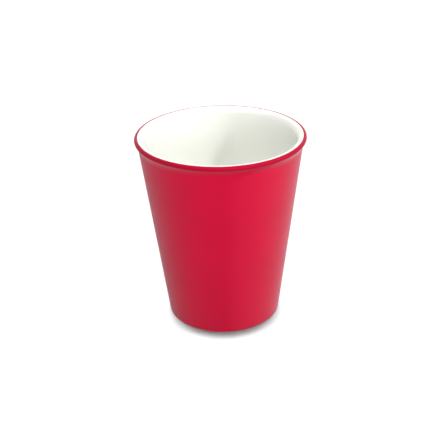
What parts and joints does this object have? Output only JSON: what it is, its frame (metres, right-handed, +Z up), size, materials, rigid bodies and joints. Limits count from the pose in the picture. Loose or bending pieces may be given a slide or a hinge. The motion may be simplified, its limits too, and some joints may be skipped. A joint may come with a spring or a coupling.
{
  "type": "tumbler",
  "caption": "Tapered tumbler with no handle: a white glazed ceramic cup with a rounded lip, standing in a red silicone jacket with a rolled rim.",
  "frame": {"origin": "on the table, under the middle of the cup", "axes": "+Z up along the cup's axis; the cup is round, so X and Y are free"},
  "size_m": [0.08, 0.08, 0.092],
  "materials": {
    "red_silicone": "satin",
    "fired_clay": "matte, unglazed",
    "white_glaze": "gloss"
  },
  "bodies": {
    "jacket": {"silicone_jacket": "red_silicone"},
    "cup": {"ceramic_body": "fired_clay", "glaze_coat": "white_glaze"}
  },
  "joints": [
    {"name": "cup_lift", "type": "slide", "parent": "jacket", "child": "cup", "axis": [0, 0, 1], "range_m": [0, 0.1]}
  ]
}
